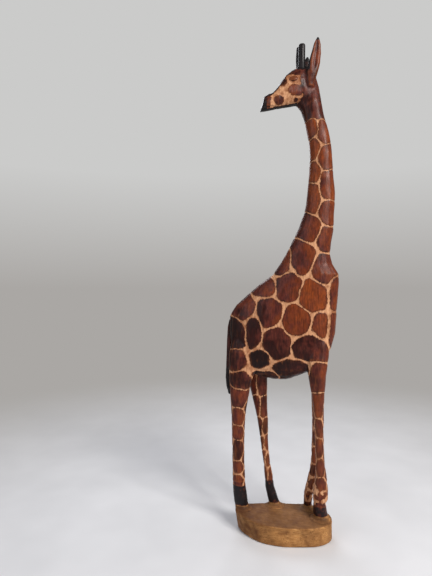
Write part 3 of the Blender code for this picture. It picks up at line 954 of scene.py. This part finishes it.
def wood_finish(g, sheen_of_stain):
    """Joins stain, pale lines, bare wood and burnt wood by the values carved into the skin, with
    painted shade in hollows and a painted highlight on ridges.
    """
    grain = g.noise((0.75, 0.75, 13.0), 4.0, 0.6)
    ragged = g.step(0.2, 0.8, g.noise((1.5, 1.5, 2.4), 3.0, 0.6), -0.55, 0.55)
    inside = g.math("ADD", g.value("inside"), ragged)
    spot = g.step(-0.22, 0.22, inside)
    stain = stain_colour(g, grain, inside)
    line = g.ramp(grain, PALE_LINE)
    smudge = g.noise((3.0, 3.0, 6.0), 3.0)
    # the pale lines are browned by smudges, and darkened as painted shade towards the rump and low
    # on the legs
    smudge_and_shade = g.math("ADD", g.value("smoke"), g.step(0.3, 0.7, smudge, -0.3, 0.35))
    line = g.mix(g.step(0.0, 1.1, smudge_and_shade, 0.0, 0.9), line, paint((134, 80, 48)))
    cut_edge = g.step(-0.9, -0.1, inside, 0.0, 0.35)
    line = g.mix(cut_edge, line, paint((150, 84, 46)))
    colour = g.mix(spot, line, stain)
    # painted highlight: the stain is lightened to orange on convex ridges, where edges catch the
    # light
    painted_ridge_highlight = g.step(-0.02, -0.22, g.value("hollow"), 0.0, 0.35)
    colour = g.mix(g.math("MULTIPLY", painted_ridge_highlight, spot), colour, paint((158, 88, 44)))
    bare, level_grain = bare_wood_colour(g)
    bareness = g.step(0.3, 0.7, g.math("ADD", g.value("bare"), g.math("MULTIPLY", ragged, 0.3)))
    colour = g.mix(bareness, colour, bare)
    burnt = g.step(0.15, 0.85, g.math("ADD", g.value("burnt"), g.math("MULTIPLY", ragged, 0.25)))
    colour = g.mix(burnt, colour, g.ramp(grain, BURNT))
    # painted shade: the stain is darkened in hollows, creases and crevices, where shade falls
    hollow = g.step(0.02, 0.30, g.value("hollow"), 0.0, 0.45)
    colour = g.mix(g.math("MULTIPLY", hollow, spot), colour, paint((26, 12, 9)))
    g.tree.links.new(colour, g.shader.inputs["Base Color"])
    rough = g.step(0.3, 0.7, g.noise((6, 6, 9), 3.0), sheen_of_stain - 0.06,
                   sheen_of_stain + 0.12)
    rough = g.math("ADD", rough, g.math("MULTIPLY", bareness, 0.22))
    rough = g.math("ADD", rough, g.math("MULTIPLY", g.math("SUBTRACT", 1.0, spot), 0.12))
    g.tree.links.new(rough, g.shader.inputs["Roughness"])
    relief = g.math("MULTIPLY", grain, 0.6)
    relief = g.math("ADD", relief, g.math("MULTIPLY", level_grain, bareness))
    relief = g.math("ADD", relief, g.math("MULTIPLY", ragged, 0.25))
    bump = g.add("ShaderNodeBump", {"Height": relief, "Strength": 0.35, "Distance": 0.25 * MM})
    g.tree.links.new(bump.outputs[0], g.shader.inputs["Normal"])
    return g.material


def stained_wood():
    """Dark stain between pale lines, under a semi-gloss varnish."""
    g = Graph("stained_wood")
    g.shader.inputs["Specular IOR Level"].default_value = SPECULAR
    return wood_finish(g, STAIN_ROUGHNESS)


def burnt_wood():
    """The sections that the flame blackened."""
    g = Graph("burnt_wood")
    g.shader.inputs["Specular IOR Level"].default_value = SPECULAR
    return wood_finish(g, BURNT_ROUGHNESS)


def base_wood():
    """The bare base, duller than the rest."""
    g = Graph("base_wood")
    g.shader.inputs["Specular IOR Level"].default_value = SPECULAR
    return wood_finish(g, BASE_ROUGHNESS)


def floor_material():
    """A pale floor that fades into the wall's colour far off."""
    g = Graph("pale_floor")
    soft = g.noise((90, 90, 90), 2.0)
    colour = g.ramp(soft, ((0.3, (221, 223, 227)), (0.7, (231, 233, 237))))
    g.tree.links.new(colour, g.shader.inputs["Base Color"])
    g.shader.inputs["Roughness"].default_value = 0.85
    away = g.add("ShaderNodeVectorMath", {0: g.place}, operation="LENGTH").outputs["Value"]
    wall = g.add("ShaderNodeEmission", {"Color": paint(WALL[0][1])})
    fade = g.add("ShaderNodeMixShader", {0: g.step(*FLOOR_FADE, away), 1: g.shader.outputs[0],
                                         2: wall.outputs[0]})
    g.tree.links.new(fade.outputs[0], g.tree.nodes["Material Output"].inputs["Surface"])
    return g.material


# ---------------------------------------------------------------- floor, light and camera

def make_floor():
    """A wide, flat floor at the height of the base's underside."""
    mesh = bpy.data.meshes.new("floor")
    bm = bmesh.new()
    bmesh.ops.create_grid(bm, x_segments=8, y_segments=8, size=FLOOR_HALF)
    bm.to_mesh(mesh)
    bm.free()
    mesh.materials.append(floor_material())
    floor = bpy.data.objects.new("floor", mesh)
    bpy.context.scene.collection.objects.link(floor)


def add_softbox(name, place, size, watts, colour):
    """A square light that faces the giraffe's middle."""
    light = bpy.data.lights.new(name, "AREA")
    light.size = size
    light.energy = watts
    light.color = colour
    lamp = bpy.data.objects.new(name, light)
    lamp.location = place
    aim = Vector(LIGHT_AIM) - lamp.location
    lamp.rotation_euler = aim.to_track_quat("-Z", "Y").to_euler()
    lamp.visible_camera = False
    bpy.context.scene.collection.objects.link(lamp)


def make_world():
    """A pale wall to look at, which lights the giraffe less than it shows."""
    world = bpy.data.worlds.new("studio")
    world.use_nodes = True
    tree = world.node_tree
    seen = tree.nodes["Background"]
    way = tree.nodes.new("ShaderNodeTexCoord")
    split = tree.nodes.new("ShaderNodeSeparateXYZ")
    tree.links.new(way.outputs["Generated"], split.inputs[0])
    wall = tree.nodes.new("ShaderNodeValToRGB")
    for element, (place, rgb) in zip(wall.color_ramp.elements, WALL):
        element.position = place
        element.color = paint(rgb)
    tree.links.new(split.outputs["Z"], wall.inputs[0])
    tree.links.new(wall.outputs["Color"], seen.inputs["Color"])
    lighting = tree.nodes.new("ShaderNodeBackground")
    lighting.inputs["Color"].default_value = paint(WALL_LIGHT[0])
    lighting.inputs["Strength"].default_value = WALL_LIGHT[1]
    path = tree.nodes.new("ShaderNodeLightPath")
    choose = tree.nodes.new("ShaderNodeMixShader")
    tree.links.new(path.outputs["Is Camera Ray"], choose.inputs[0])
    tree.links.new(lighting.outputs[0], choose.inputs[1])
    tree.links.new(seen.outputs[0], choose.inputs[2])
    tree.links.new(choose.outputs[0], tree.nodes["World Output"].inputs["Surface"])
    bpy.context.scene.world = world


def make_light():
    """A warm key light from the front right, and cooler ones from the left and behind."""
    for name, (place, size, watts, colour) in SOFTBOXES.items():
        add_softbox(name, place, size, watts, colour)


def make_camera():
    """Level, at the height of the trunk, turned 15 degrees round from the giraffe's near side."""
    camera = bpy.data.cameras.new("camera")
    camera.sensor_width = SENSOR_WIDTH
    camera.lens = LENS
    eye = bpy.data.objects.new("camera", camera)
    eye.location = CAMERA_PLACE
    eye.rotation_euler = (math.radians(90), 0, CAMERA_TURN)
    bpy.context.scene.collection.objects.link(eye)
    bpy.context.scene.camera = eye


def main():
    """Builds the statue, the studio round it and the camera."""
    materials = {"stained_wood": stained_wood(), "burnt_wood": burnt_wood(),
                 "base_wood": base_wood()}
    make_body(materials)
    make_tail(materials)
    make_floor()
    make_world()
    make_light()
    make_camera()
    bpy.context.scene.view_settings.view_transform = "Standard"


main()
